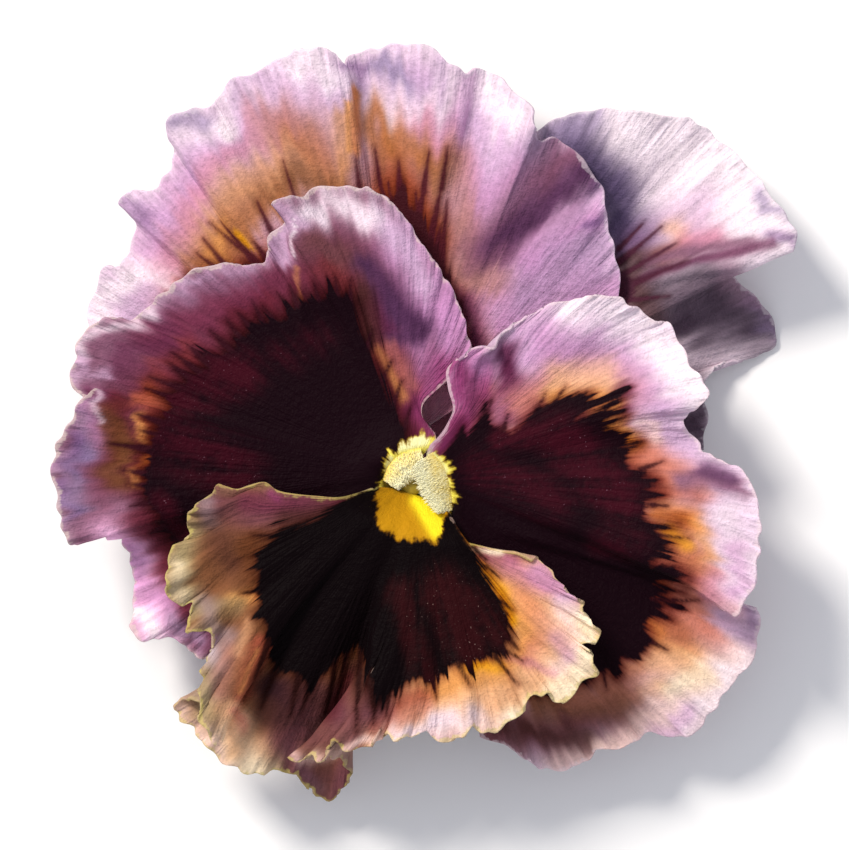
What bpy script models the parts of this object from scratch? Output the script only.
"""A viola flower, the ruffled garden pansy, as picked and lying on its back with its face up.

Metres, +Z up. The origin is on the axis of the throat, at the surface that the flower lies on. The five petals
stand on the receptacle by their narrow claws and lie over each other: the lower petal in front, then the right
and the left side petal, the upper left petal and, rearmost, the upper right petal. Sizes below are millimetres.
"""

import math

import bmesh
import bpy
from mathutils import Vector

MM = 0.001

# Petals are sheets. A real one is thinner, and this is the thinnest that stays solid in every fold.
PETAL_THICKNESS = 0.65
SEPAL_THICKNESS = 0.6

# The receptacle, on which every petal and sepal is seated with a small gap. Its side view is (radius, height).
RECEPTACLE_TOP = 5.3
RECEPTACLE_RADIUS = 2.5
RECEPTACLE_PROFILE = [(0.0, 0.7), (0.9, 0.9), (1.2, 1.5), (1.5, 2.4), (1.95, 3.4), (2.2, 4.3),
                      (RECEPTACLE_RADIUS, 4.8), (RECEPTACLE_RADIUS - 0.1, RECEPTACLE_TOP - 0.1),
                      (RECEPTACLE_RADIUS - 0.4, RECEPTACLE_TOP), (0.0, RECEPTACLE_TOP)]
RECEPTACLE_STEPS = 24
SEAT_GAP = 0.35
CLAW_RADIUS = 2.3

# The stalk leaves the receptacle sideways and lies along the surface, flattened a little where it touches.
STALK_RADIUS = 1.15
STALK_CENTRE_HEIGHT = 1.0
STALK_ROUTE = [(-0.3, 0.9), (0.9, -2.9), (2.6, -8.0), (4.7, -13.4), (6.7, -18.6), (8.3, -23.6)]
STALK_STEPS = 3
STALK_FINENESS = 3
# The block whose top is the surface, which cuts the stalk's underside flat.
FLOOR_BLOCK_SIZE = 80.0

# Sepals: five, between the petals.
SEPAL_ANGLES_DEG = [90, 18, -54, -126, 162]
# Side view of a sepal as (distance from the axis, height): ear, turn at the receptacle, blade.
SEPAL_PROFILE = [(5.0, 2.75), (4.0, 2.8), (3.2, 2.95), (2.88, 3.5), (3.2, 4.05), (4.4, 4.2), (6.6, 4.2),
                 (9.0, 4.0), (11.4, 3.6), (13.6, 3.1)]
SEPAL_HALF_WIDTHS = [0.45, 0.95, 0.9, 0.85, 0.95, 1.2, 1.3, 1.15, 0.75, 0.25]
SEPAL_CELLS_ACROSS = 4

# The five anthers, standing together as a cone with a rib for each.
STAMENS_HEIGHT = 3.5
STAMENS_BOTTOM_RADIUS = 1.2
STAMENS_TOP_RADIUS = 0.65
STAMENS_SIDES = 30
STAMEN_COUNT = 5
STAMEN_RIB = 0.12

# Side view of the style and its knob as (radius, height).
PISTIL_PROFILE = [(0.0, 9.45), (0.4, 9.45), (0.4, 9.8), (0.7, 10.0), (0.9, 10.4), (0.85, 10.8), (0.5, 11.2),
                  (0.0, 11.3)]
PISTIL_STEPS = 20

# The nectar spur behind the lower petal: its centre line and its radii.
SPUR_ROUTE = [(0.0, -2.5, 7.4), (0.0, -3.3, 6.9), (0.0, -4.3, 6.0), (0.0, -5.5, 4.9), (0.0, -6.7, 4.1),
              (0.0, -7.8, 3.6)]
SPUR_RADII = [0.7, 1.0, 1.15, 1.15, 1.05, 0.75]
SPUR_FINENESS = 2

# How a petal's form spreads from its margin inward. Curls and pleats die out faster than waves.
CURL_REACH = 3.2
WAVE_REACH = 1.8
# The margin is read as a smooth wavy outline, averaged over this length, with the curls on top of it.
OUTLINE_SMOOTHING = 4.0
# A side edge that bends carries the sheet beside it along, over this length of the margin.
SIDE_REACH = 14.0

# Distance over which the blade settles from the throat to its own level, and where it leaves the claw.
SETTLING_LENGTH = 5.0
SHOULDER_LENGTH = 1.2
LARGEST_SHOULDER_SHARE = 0.35
# How far out, from its foot to the rim, the claw reaches before it turns up.
CLAW_LEAN = 0.6
CLAW_ROWS = 3
BLADE_ROWS = 7
# Rows stand a little closer towards the margin.
ROW_CROWDING = 1.25

WELD_DISTANCE = 0.00001

# Each margin runs from one side of the claw round to the other, as (x, y, height): clockwise seen from above,
# and the other way round on the left lateral petal.
LOWER_PETAL = {
    "foot_deg": (-64, -112),
    "foot_height": 5.75,
    "rim": [(3.5, -3.5, 13.2), (0.2, -3.2, 12.6), (-3.0, -0.7, 13.2)],
    "level": 14.6,
    "even_turn": 0.8,
    "first_side": [(5.2, -5.3), (6.6, -5.8), (8.3, -6.7), (10.3, -7.0)],
    "last_side": [(-5.2, -1.2), (-7.2, -1.7), (-9.2, -1.6), (-11.4, -1.4), (-13.4, -1.0), (-14.6, -0.2),
                  (-16.0, -0.5), (-17.4, -0.9)],
    "margin": [
        (12.0, -7.7, 15.2), (13.6, -8.8, 14.8), (15.0, -10.7, 15.6), (17.0, -12.3, 16.2), (17.2, -13.2, 15.8),
        (18.7, -14.9, 15.2), (18.7, -16.0, 15.0), (17.1, -16.4, 15.6), (17.9, -17.4, 16.2),
        (18.5, -19.1, 15.8), (17.6, -19.9, 15.2), (16.3, -20.9, 14.6), (15.2, -22.3, 14.2),
        (13.8, -21.6, 14.8), (12.6, -21.2, 15.4), (11.8, -21.9, 15.2), (10.5, -23.6, 14.4),
        (9.1, -24.6, 13.8), (7.2, -25.3, 14.0), (6.0, -24.5, 14.8), (5.1, -25.5, 15.2), (3.8, -26.1, 14.8),
        (2.3, -25.7, 14.0), (1.2, -25.0, 14.2), (-0.2, -25.6, 15.0), (-1.8, -25.8, 15.2), (-2.8, -25.3, 14.6),
        (-4.1, -26.6, 14.2), (-5.5, -26.8, 14.6), (-6.8, -26.8, 15.0), (-8.0, -26.1, 14.8),
        (-9.0, -28.0, 14.4), (-10.3, -27.5, 14.2), (-11.9, -28.1, 13.4), (-9.6, -27.6, 11.6),
        (-7.0, -28.0, 9.4), (-6.6, -29.8, 7.0), (-7.6, -31.8, 4.8), (-9.0, -32.0, 4.2), (-10.5, -30.8, 6.0),
        (-12.1, -29.2, 8.4), (-14.0, -29.2, 9.8), (-16.5, -29.3, 10.4), (-18.4, -28.4, 10.2),
        (-20.2, -27.0, 9.8), (-22.1, -24.7, 9.6), (-23.6, -23.4, 9.4), (-23.4, -22.0, 10.2),
        (-21.2, -22.2, 12.4), (-19.2, -24.8, 13.4), (-19.3, -26.4, 14.6), (-21.2, -24.0, 15.8),
        (-21.0, -22.8, 15.6), (-21.3, -21.7, 15.8), (-21.1, -20.6, 15.4), (-20.8, -19.2, 14.8),
        (-20.2, -17.8, 14.4), (-19.7, -16.7, 14.6), (-20.3, -15.4, 15.2), (-21.4, -15.0, 15.6),
        (-22.4, -15.2, 15.4), (-22.2, -13.5, 15.0), (-22.0, -12.2, 14.8), (-23.3, -12.5, 15.2),
        (-24.3, -11.4, 15.8), (-24.6, -9.4, 16.2), (-24.1, -8.2, 15.8), (-23.9, -6.9, 15.2),
        (-22.0, -5.2, 15.0), (-22.7, -3.9, 15.6), (-21.8, -2.8, 15.8), (-20.4, -1.6, 15.4),
        (-19.1, -0.4, 15.0),
    ],
}
RIGHT_LATERAL_PETAL = {
    "foot_deg": (6, -42),
    "foot_height": 5.75,
    "rim": [(1.5, 2.2, 13.2), (3.3, -0.2, 12.4), (3.7, -2.8, 11.2)],
    "level": 12.0,
    "even_turn": 0.4,
    "first_side": [(2.7, 4.3), (3.6, 5.8), (4.1, 7.6), (3.5, 9.4), (3.5, 10.9)],
    "last_side": [],
    "margin": [
        (4.6, 12.0, 13.6), (6.2, 13.2, 14.1), (7.9, 13.1, 14.4), (8.9, 14.5, 13.6), (11.1, 16.1, 13.2),
        (13.8, 17.5, 13.0), (17.5, 18.3, 13.6), (19.7, 18.4, 13.8), (21.7, 17.6, 13.2), (24.2, 16.0, 12.0),
        (25.6, 15.6, 11.6), (26.9, 13.7, 12.2), (27.8, 11.3, 13.4), (29.1, 10.0, 14.2), (29.4, 8.2, 14.4),
        (28.2, 7.0, 13.6), (27.0, 6.1, 12.4), (28.2, 4.3, 11.4), (29.0, 3.0, 11.6), (30.6, 1.9, 12.4),
        (33.2, 0.9, 13.6), (34.1, -1.0, 14.4), (34.7, -3.9, 15.0), (34.6, -6.5, 15.2), (34.2, -10.1, 15.6),
        (33.6, -11.4, 15.6), (32.2, -13.4, 15.2), (29.8, -11.4, 13.6), (27.6, -9.7, 12.0),
        (29.8, -10.9, 10.4), (33.0, -12.3, 9.0), (34.9, -13.5, 8.0), (34.6, -15.6, 7.4), (34.6, -16.8, 7.6),
        (33.7, -18.5, 8.4), (31.6, -21.0, 9.0), (29.9, -23.4, 8.4), (28.1, -25.5, 7.2), (26.4, -25.7, 6.6),
        (23.8, -25.4, 7.0), (22.0, -26.4, 8.0), (19.7, -27.1, 8.6), (18.4, -26.9, 8.0), (17.6, -28.1, 7.0),
        (15.4, -29.0, 6.4), (13.3, -29.0, 7.0), (11.4, -28.0, 8.2), (9.4, -26.6, 9.0), (6.8, -25.6, 9.4),
    ],
}
LEFT_LATERAL_PETAL = {
    "foot_deg": (170, 214),
    "foot_height": 5.75,
    "rim": [(0.4, 2.4, 12.2), (-2.1, 1.4, 12.0), (-2.9, -0.6, 11.6)],
    "level": 11.2,
    "even_turn": 0.25,
    "first_side": [(1.6, 4.6), (1.1, 6.6), (1.3, 7.9), (2.6, 9.0), (4.4, 10.8)],
    "last_side": [(-3.9, -1.8), (-7.4, -5.6)],
    "margin": [
        (5.9, 13.2, 10.9), (5.3, 15.6, 11.0), (4.5, 18.0, 11.2), (2.8, 21.0, 11.6), (0.3, 24.6, 12.2),
        (-1.5, 27.2, 12.6), (-4.0, 29.0, 12.8), (-6.6, 29.3, 12.2), (-9.1, 29.3, 11.8), (-11.1, 28.4, 12.6),
        (-13.3, 28.1, 13.8), (-13.9, 27.3, 13.6), (-12.2, 26.6, 12.2), (-13.2, 25.3, 10.6),
        (-14.4, 24.2, 10.0), (-14.4, 22.4, 10.4), (-15.7, 21.5, 11.0), (-18.3, 21.6, 11.4),
        (-20.9, 21.4, 11.2), (-22.9, 20.3, 10.6), (-25.7, 18.0, 10.0), (-28.2, 15.8, 9.6), (-29.4, 16.2, 9.8),
        (-31.2, 16.0, 9.6), (-33.2, 14.3, 9.0), (-33.7, 12.4, 8.4), (-34.2, 10.9, 8.0), (-33.9, 9.1, 8.0),
        (-32.7, 8.2, 8.6), (-31.3, 7.0, 10.0), (-31.7, 9.0, 12.4), (-32.9, 8.2, 13.0), (-34.0, 5.9, 12.8),
        (-35.3, 3.9, 12.2), (-36.0, 1.0, 12.0), (-35.5, -1.2, 12.4), (-35.0, -4.4, 12.6), (-33.9, -6.5, 12.0),
        (-31.3, -4.6, 10.6), (-30.6, -5.6, 8.8), (-28.9, -6.2, 7.4), (-27.9, -9.6, 6.8), (-27.9, -12.8, 7.4),
        (-28.2, -14.8, 8.2), (-26.9, -16.1, 8.6), (-24.2, -15.6, 8.0), (-22.4, -17.0, 7.6),
        (-20.2, -18.0, 7.8), (-18.0, -16.4, 8.8),
    ],
}
UPPER_LEFT_PETAL = {
    "foot_deg": (148, 104),
    "foot_height": 5.85,
    "rim": [(-3.3, 3.0, 7.4), (-1.7, 4.2, 7.7), (0.3, 4.5, 7.6)],
    "level": 8.6,
    "even_turn": 0.25,
    "first_side": [],
    "last_side": [],
    "margin": [
        (-28.6, 12.6, 2.6), (-32.0, 14.0, 0.9), (-32.6, 16.6, 0.3), (-31.7, 19.5, 1.6), (-30.8, 21.4, 3.0),
        (-29.2, 21.6, 3.6), (-28.3, 23.3, 3.0), (-27.9, 26.1, 3.2), (-29.2, 28.0, 4.4), (-28.2, 29.1, 5.4),
        (-26.2, 29.0, 5.8), (-24.6, 30.7, 5.0), (-23.8, 32.8, 4.6), (-24.5, 34.4, 5.6), (-24.3, 36.1, 6.8),
        (-22.8, 37.1, 7.6), (-20.6, 37.3, 7.6), (-19.3, 38.4, 6.8), (-18.6, 39.8, 6.8), (-16.0, 40.7, 7.8),
        (-13.4, 42.1, 9.2), (-11.4, 43.0, 10.2), (-9.2, 43.2, 10.6), (-7.4, 42.4, 10.4), (-6.2, 40.0, 9.0),
        (-6.6, 42.2, 7.4), (-4.7, 43.0, 6.6), (-2.4, 43.5, 7.2), (1.2, 43.6, 8.8), (3.6, 41.9, 9.6),
        (5.2, 40.8, 8.8), (6.4, 41.2, 7.8), (8.0, 40.8, 7.4), (10.0, 39.2, 8.4), (11.9, 37.3, 9.8),
        (12.3, 35.6, 10.6), (12.2, 34.7, 10.0), (13.0, 34.1, 9.4), (14.6, 34.1, 9.0), (16.2, 33.0, 9.2),
        (17.6, 31.4, 9.8), (18.9, 29.6, 9.8), (19.4, 26.9, 9.2), (20.0, 23.9, 8.6), (20.8, 21.0, 8.4),
        (20.6, 17.8, 8.2),
    ],
}
UPPER_RIGHT_PETAL = {
    "foot_deg": (76, 32),
    "foot_height": 6.1,
    "rim": [(1.4, 4.3, 6.1), (3.1, 3.7, 6.1), (4.3, 2.3, 6.1)],
    "level": 5.9,
    "even_turn": 0.25,
    "first_side": [],
    "last_side": [],
    "margin": [
        (11.0, 34.0, 6.4), (14.6, 36.2, 7.0), (18.1, 37.0, 8.2), (21.0, 37.1, 8.8), (24.5, 36.6, 8.0),
        (28.3, 36.0, 6.8), (30.6, 34.2, 6.0), (33.3, 32.0, 6.8), (35.5, 29.0, 8.2), (37.4, 26.6, 9.4),
        (38.4, 24.5, 10.0), (38.2, 23.0, 9.4), (35.4, 22.6, 7.8), (32.4, 22.0, 6.0), (32.2, 20.5, 4.6),
        (34.0, 18.9, 3.4), (35.6, 17.3, 2.2), (36.4, 15.4, 1.0), (36.5, 13.5, 0.3), (33.6, 12.2, 1.0),
        (31.0, 11.5, 2.4), (29.2, 9.4, 3.6), (29.6, 6.0, 4.0), (29.2, 3.0, 4.0),
    ],
}

PETAL_COLOURS = {
    "lower_petal": (0.075, 0.012, 0.020),
    "right_lateral_petal": (0.095, 0.014, 0.028),
    "left_lateral_petal": (0.080, 0.012, 0.024),
    "upper_left_petal": (0.480, 0.230, 0.330),
    "upper_right_petal": (0.640, 0.520, 0.680),
}
PETAL_ROUGHNESS = 0.7
SEPAL_COLOUR = (0.130, 0.240, 0.060)
STALK_COLOUR = (0.180, 0.310, 0.090)
STAMENS_COLOUR = (0.650, 0.420, 0.080)
PISTIL_COLOUR = (0.270, 0.290, 0.070)
GREEN_ROUGHNESS = 0.5


def clear_scene():
    for thing in list(bpy.data.objects):
        bpy.data.objects.remove(thing, do_unlink=True)


def make_collection(name):
    collection = bpy.data.collections.new(name)
    bpy.context.scene.collection.children.link(collection)
    return collection


def make_material(name, colour, roughness):
    material = bpy.data.materials.new(name)
    material.use_nodes = True
    shader = material.node_tree.nodes["Principled BSDF"]
    shader.inputs["Base Color"].default_value = (*colour, 1.0)
    shader.inputs["Roughness"].default_value = roughness
    shader.inputs["Metallic"].default_value = 0.0
    return material


def make_object(name, mesh, collection, material):
    piece = bpy.data.objects.new(name, mesh)
    collection.objects.link(piece)
    piece.data.materials.append(material)
    return piece


def metres(point):
    return Vector(point) * MM


def smooth_outline(margin):
    """The margin with its curls averaged away, one point for each of its points."""
    rough = [Vector(point) for point in margin]
    count = len(rough)
    # The ends are continued by their own mirror image, so that averaging doesn't pull them in.
    before = [2 * rough[0] - point for point in rough[count - 1:0:-1]]
    after = [2 * rough[-1] - point for point in rough[count - 2::-1]]
    line = before + rough + after
    travel = [0.0]
    for start, end in zip(line, line[1:]):
        travel.append(travel[-1] + (end - start).length)
    smooth = []
    for index in range(count - 1, 2 * count - 1):
        total = Vector((0.0, 0.0, 0.0))
        weights = 0.0
        for other in range(1, len(line) - 1):
            share = (travel[other + 1] - travel[other - 1]) / 2
            away = (travel[other] - travel[index]) / OUTLINE_SMOOTHING
            weight = share * math.exp(-away * away / 2)
            total += weight * line[other]
            weights += weight
        smooth.append(total / weights)
    return smooth


def fan_out(outline, even_turn):
    """Turns the outline's points about the throat so that none lies behind the one before it.

    The share even_turn of the whole turn is spread evenly over the points. Returns the outline and, for each
    point, its share of the turn.
    """
    turns = [0.0]
    for start, end in zip(outline, outline[1:]):
        turns.append(turns[-1] + start.xy.angle_signed(end.xy))
    whole = turns[-1]
    ordered = sorted(turns, reverse=whole < 0)
    last = len(outline) - 1
    fanned = []
    shares = []
    for index, point in enumerate(outline):
        share = (ordered[index] - ordered[0]) / (ordered[-1] - ordered[0])
        share += even_turn * (index / last - share)
        swing = turns[index] - whole * share
        x = point.x * math.cos(swing) - point.y * math.sin(swing)
        y = point.x * math.sin(swing) + point.y * math.cos(swing)
        fanned.append(Vector((x, y, point.z)))
        shares.append(share)
    return fanned, shares


def ease(x):
    x = min(max(x, 0.0), 1.0)
    return x * x * (3.0 - 2.0 * x)


def along_arc(points, t):
    """A point at t on the smooth arc through three points."""
    first, middle, last = (Vector(point) for point in points)
    bend = 2 * middle - (first + last) / 2
    return first * (1 - t) ** 2 + bend * 2 * t * (1 - t) + last * t * t


def foot_point(petal, t):
    start, end = petal["foot_deg"]
    angle = math.radians(start + (end - start) * t)
    return Vector((CLAW_RADIUS * math.cos(angle), CLAW_RADIUS * math.sin(angle), petal["foot_height"]))


def side_bend(start, side, end, u):
    """How far a bent side edge lies from the straight line between its ends, at u along it."""
    if not side:
        return Vector((0.0, 0.0))
    line = [Vector(start)] + [Vector(point) for point in side] + [Vector(end)]
    lengths = [(b - a).length for a, b in zip(line, line[1:])]
    left = u * sum(lengths)
    for a, b, length in zip(line, line[1:], lengths):
        if left <= length or b is line[-1]:
            return a.lerp(b, min(left / length, 1.0)) - line[0].lerp(line[-1], u)
        left -= length


def side_shares(outline):
    """How much each column follows the first side edge and the last one."""
    travel = [0.0]
    for start, end in zip(outline, outline[1:]):
        travel.append(travel[-1] + (end - start).length)
    first = [math.exp(-(way / SIDE_REACH) ** 2) for way in travel]
    last = [math.exp(-((travel[-1] - way) / SIDE_REACH) ** 2) for way in travel]
    return first, last


def blade_point(petal, rim, margin, outline, bends, u):
    """A point of the blade, at u from the throat's rim (0) to the margin (1)."""
    curl = Vector(margin) - outline
    plan = rim.xy + (outline.xy - rim.xy) * u + curl.xy * u ** CURL_REACH
    first_share, last_share = bends
    rim_start, _, rim_end = petal["rim"]
    plan += first_share * side_bend(rim_start[:2], petal["first_side"], petal["margin"][0][:2], u)
    plan += last_share * side_bend(rim_end[:2], petal["last_side"], petal["margin"][-1][:2], u)
    length = (outline.xy - rim.xy).length
    level = petal["level"]
    settled = rim.z + (level - rim.z) * ease(u * length / SETTLING_LENGTH)
    settled_at_margin = rim.z + (level - rim.z) * ease(length / SETTLING_LENGTH)
    height = settled + (outline.z - settled_at_margin) * u ** WAVE_REACH + curl.z * u ** CURL_REACH
    return Vector((plan.x, plan.y, height))


def petal_column(petal, margin, outline, bends, t):
    """The points of one column of the petal's sheet, from the foot of the claw to the margin."""
    foot = foot_point(petal, t)
    rim = along_arc(petal["rim"], t)
    length = (outline.xy - rim.xy).length
    shoulder = min(LARGEST_SHOULDER_SHARE, SHOULDER_LENGTH / length)
    joint = blade_point(petal, rim, margin, outline, bends, shoulder)
    column = []
    for row in range(CLAW_ROWS + 1):
        s = row / CLAW_ROWS
        lift = foot.lerp(rim, CLAW_LEAN)
        column.append(foot * (1 - s) ** 3 + lift * 3 * s * (1 - s) ** 2 + rim * 3 * s * s * (1 - s)
                      + joint * s ** 3)
    for row in range(1, BLADE_ROWS + 1):
        u = shoulder + (1 - shoulder) * (1 - (1 - row / BLADE_ROWS) ** ROW_CROWDING)
        column.append(blade_point(petal, rim, margin, outline, bends, u))
    return column


def make_petal(name, petal, collection):
    """A petal is a grid laid over the petal's form, split into triangles and given its thickness."""
    margin = petal["margin"]
    outlines, shares = fan_out(smooth_outline(margin), petal["even_turn"])
    last = len(margin) - 1
    bends = list(zip(*side_shares(outlines)))
    columns = [petal_column(petal, margin[i], outlines[i], bends[i], shares[i]) for i in range(last + 1)]
    rows = len(columns[0])
    sheet = bmesh.new()
    bmesh.ops.create_grid(sheet, x_segments=last, y_segments=rows - 1, size=0.5)
    for vertex in sheet.verts:
        column = round((vertex.co.x + 0.5) * last)
        row = round((vertex.co.y + 0.5) * (rows - 1))
        vertex.co = metres(columns[column][row])
    bmesh.ops.reverse_faces(sheet, faces=sheet.faces)
    mesh = bpy.data.meshes.new(name)
    sheet.to_mesh(mesh)
    sheet.free()
    material = make_material(name, PETAL_COLOURS[name], PETAL_ROUGHNESS)
    piece = make_object(name, mesh, collection, material)
    piece.modifiers.new("Triangles", "TRIANGULATE").quad_method = "SHORTEST_DIAGONAL"
    thicken(piece, PETAL_THICKNESS)
    return piece


def thicken(piece, thickness):
    solid = piece.modifiers.new("Thickness", "SOLIDIFY")
    solid.thickness = thickness * MM
    solid.offset = 0.0


def mesh_of(piece):
    """The piece's finished mesh, with its modifiers applied."""
    graph = bpy.context.evaluated_depsgraph_get()
    return bpy.data.meshes.new_from_object(piece.evaluated_get(graph))


def make_tube(name, route, radii, fineness, collection):
    """A closed mesh tube along a smooth route, with 2 * fineness + 4 sides."""
    curve = bpy.data.curves.new(name, "CURVE")
    curve.dimensions = "3D"
    curve.bevel_depth = MM
    curve.bevel_resolution = fineness
    curve.use_fill_caps = True
    spline = curve.splines.new("POLY")
    spline.points.add(len(route) - 1)
    for point, place, radius in zip(spline.points, route, radii):
        point.co = (*metres(place), 1.0)
        point.radius = radius
    tube_curve = bpy.data.objects.new(name + "_route", curve)
    collection.objects.link(tube_curve)
    mesh = mesh_of(tube_curve)
    bpy.data.objects.remove(tube_curve, do_unlink=True)
    bpy.data.curves.remove(curve)
    welded = bmesh.new()
    welded.from_mesh(mesh)
    bmesh.ops.remove_doubles(welded, verts=welded.verts, dist=WELD_DISTANCE)
    bmesh.ops.recalc_face_normals(welded, faces=welded.faces)
    welded.to_mesh(mesh)
    welded.free()
    mesh.name = name
    return mesh


def join(piece, other):
    """Makes piece and other one body and removes other."""
    boolean = piece.modifiers.new("Join", "BOOLEAN")
    boolean.operation = "UNION"
    boolean.object = other
    bpy.context.view_layer.update()
    mesh = mesh_of(piece)
    piece.modifiers.clear()
    piece.data = mesh
    bpy.data.objects.remove(other, do_unlink=True)


def make_lower_petal(collection):
    """The lower petal with its spur, which grows as one piece with it."""
    piece = make_petal("lower_petal", LOWER_PETAL, collection)
    spur_mesh = make_tube("spur", SPUR_ROUTE, SPUR_RADII, SPUR_FINENESS, collection)
    spur = bpy.data.objects.new("spur", spur_mesh)
    collection.objects.link(spur)
    join(piece, spur)


def make_sepal(name, angle_deg, collection):
    """A sepal is a narrow blade with an ear that turns back under it."""
    rows = len(SEPAL_PROFILE) - 1
    sheet = bmesh.new()
    bmesh.ops.create_grid(sheet, x_segments=SEPAL_CELLS_ACROSS, y_segments=rows, size=0.5)
    for vertex in sheet.verts:
        side = vertex.co.x * 2
        row = round((vertex.co.y + 0.5) * rows)
        distance, height = SEPAL_PROFILE[row]
        vertex.co = metres((distance, side * SEPAL_HALF_WIDTHS[row], height))
    angle = math.radians(angle_deg)
    for vertex in sheet.verts:
        x = vertex.co.x * math.cos(angle) - vertex.co.y * math.sin(angle)
        y = vertex.co.x * math.sin(angle) + vertex.co.y * math.cos(angle)
        vertex.co = (x, y, vertex.co.z)
    mesh = bpy.data.meshes.new(name)
    sheet.to_mesh(mesh)
    sheet.free()
    piece = make_object(name, mesh, collection, make_material(name, SEPAL_COLOUR, GREEN_ROUGHNESS))
    piece.modifiers.new("Triangles", "TRIANGULATE").quad_method = "SHORTEST_DIAGONAL"
    thicken(piece, SEPAL_THICKNESS)


def turned_mesh(name, profile, steps, collection):
    """A solid turned round the Z axis from a profile of (radius, height), bottom to top."""
    mesh = bpy.data.meshes.new(name)
    points = [(radius * MM, 0.0, height * MM) for radius, height in profile]
    mesh.from_pydata(points, [(i, i + 1) for i in range(len(points) - 1)], [])
    shape = bpy.data.objects.new(name + "_profile", mesh)
    collection.objects.link(shape)
    screw = shape.modifiers.new("Turn", "SCREW")
    screw.steps = steps
    screw.render_steps = steps
    screw.use_merge_vertices = True
    screw.merge_threshold = WELD_DISTANCE
    turned = mesh_of(shape)
    bpy.data.objects.remove(shape, do_unlink=True)
    solid = bmesh.new()
    solid.from_mesh(turned)
    bmesh.ops.remove_doubles(solid, verts=solid.verts, dist=WELD_DISTANCE)
    bmesh.ops.recalc_face_normals(solid, faces=solid.faces)
    solid.to_mesh(turned)
    solid.free()
    turned.name = name
    return turned


def stalk_route():
    """The stalk's centre line as a smooth curve through its route points."""
    points = [Vector((x, y, STALK_CENTRE_HEIGHT)) for x, y in STALK_ROUTE]
    line = []
    for i in range(len(points) - 1):
        start = points[i]
        end = points[i + 1]
        leave = (end - points[max(i - 1, 0)]) / 2
        arrive = (points[min(i + 2, len(points) - 1)] - start) / 2
        for step in range(STALK_STEPS):
            t = step / STALK_STEPS
            line.append(start * (2 * t ** 3 - 3 * t * t + 1) + leave * (t ** 3 - 2 * t * t + t)
                        + end * (3 * t * t - 2 * t ** 3) + arrive * (t ** 3 - t * t))
    line.append(points[-1])
    return line


def make_stalk(collection, cutters):
    """Receptacle and stalk, grown as one, with the flat strip that the stalk lies on."""
    material = make_material("stalk", STALK_COLOUR, GREEN_ROUGHNESS)
    receptacle = turned_mesh("stalk", RECEPTACLE_PROFILE, RECEPTACLE_STEPS, collection)
    piece = make_object("stalk", receptacle, collection, material)
    route = stalk_route()
    tube_mesh = make_tube("stalk_tube", route, [STALK_RADIUS] * len(route), STALK_FINENESS, collection)
    tube = bpy.data.objects.new("stalk_tube", tube_mesh)
    collection.objects.link(tube)
    join(piece, tube)
    half = FLOOR_BLOCK_SIZE / 2
    bpy.ops.mesh.primitive_cube_add(size=FLOOR_BLOCK_SIZE * MM, location=(0.0, 0.0, -half * MM))
    floor = bpy.context.object
    floor.name = "floor_cutter"
    for owner in list(floor.users_collection):
        owner.objects.unlink(floor)
    cutters.objects.link(floor)
    floor.hide_render = True
    floor.display_type = "WIRE"
    flat = piece.modifiers.new("Flat underside", "BOOLEAN")
    flat.operation = "DIFFERENCE"
    flat.object = floor


def make_stamens(collection):
    """Five anthers that stand together as a ribbed cone."""
    middle = RECEPTACLE_TOP + SEAT_GAP + STAMENS_HEIGHT / 2
    cone = bmesh.new()
    bmesh.ops.create_cone(cone, cap_ends=True, segments=STAMENS_SIDES, radius1=STAMENS_BOTTOM_RADIUS,
                          radius2=STAMENS_TOP_RADIUS, depth=STAMENS_HEIGHT)
    for vertex in cone.verts:
        angle = math.atan2(vertex.co.y, vertex.co.x)
        rib = 1.0 + STAMEN_RIB * math.cos(STAMEN_COUNT * angle)
        vertex.co = metres((vertex.co.x * rib, vertex.co.y * rib, vertex.co.z + middle))
    mesh = bpy.data.meshes.new("stamens")
    cone.to_mesh(mesh)
    cone.free()
    make_object("stamens", mesh, collection, make_material("stamens", STAMENS_COLOUR, GREEN_ROUGHNESS))


def make_pistil(collection):
    """The style with its round knob, which stands on the tip of the cone of anthers."""
    mesh = turned_mesh("pistil", PISTIL_PROFILE, PISTIL_STEPS, collection)
    make_object("pistil", mesh, collection, make_material("pistil", PISTIL_COLOUR, GREEN_ROUGHNESS))


def main():
    clear_scene()
    flower = make_collection("viola_flower")
    cutters = make_collection("cutters")
    make_stalk(flower, cutters)
    for number, angle in enumerate(SEPAL_ANGLES_DEG, start=1):
        make_sepal(f"sepal_{number}", angle, flower)
    make_stamens(flower)
    make_pistil(flower)
    make_petal("upper_right_petal", UPPER_RIGHT_PETAL, flower)
    make_petal("upper_left_petal", UPPER_LEFT_PETAL, flower)
    make_petal("left_lateral_petal", LEFT_LATERAL_PETAL, flower)
    make_petal("right_lateral_petal", RIGHT_LATERAL_PETAL, flower)
    make_lower_petal(flower)


main()
